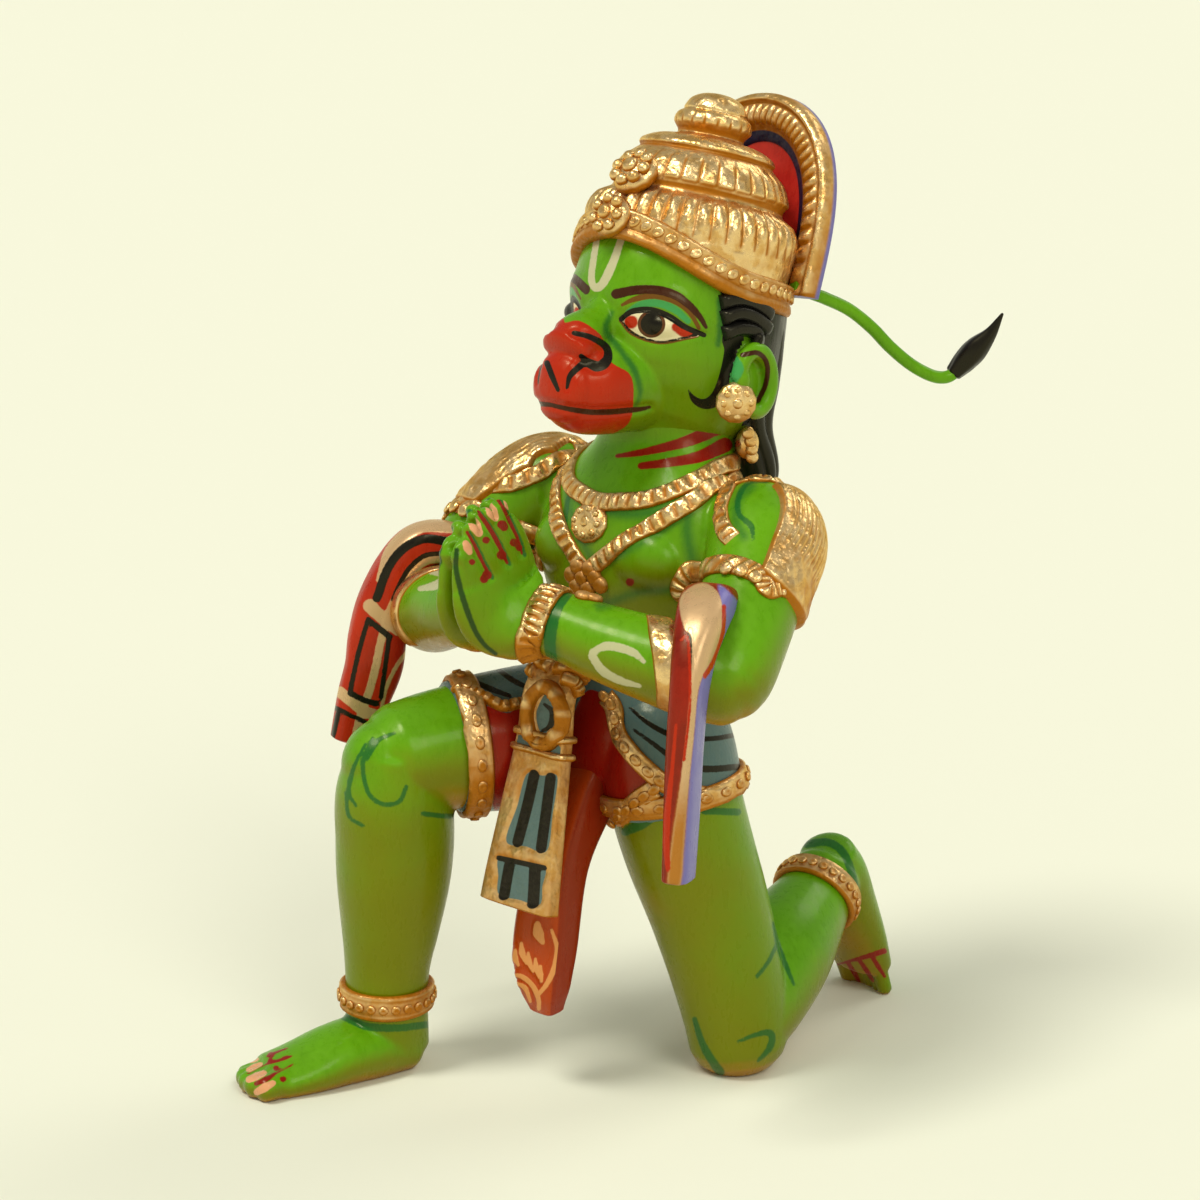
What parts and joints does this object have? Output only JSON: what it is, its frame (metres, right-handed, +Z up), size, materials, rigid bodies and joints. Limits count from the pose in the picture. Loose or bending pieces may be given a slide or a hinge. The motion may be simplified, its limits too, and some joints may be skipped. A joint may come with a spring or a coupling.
{
  "type": "hanuman figure",
  "caption": "Carved and painted kneeling Hanuman figure with joined palms, tiered crown, cloth ends and a bent wire tail.",
  "frame": {"origin": "centre of the bounding box at the floor the figure kneels on", "axes": "+Z up; the figure looks along -Y; +X is the figure's left side"},
  "size_m": [0.152, 0.2188, 0.2995],
  "materials": {
    "figure_paint": "glossy painted, green with gold relief, red muzzle and cloth, blue cloth and black hair",
    "tail_paint": "painted wire, green with a black tuft"
  },
  "bodies": {
    "root": {"figure": "figure_paint", "tail": "tail_paint"}
  },
  "joints": []
}
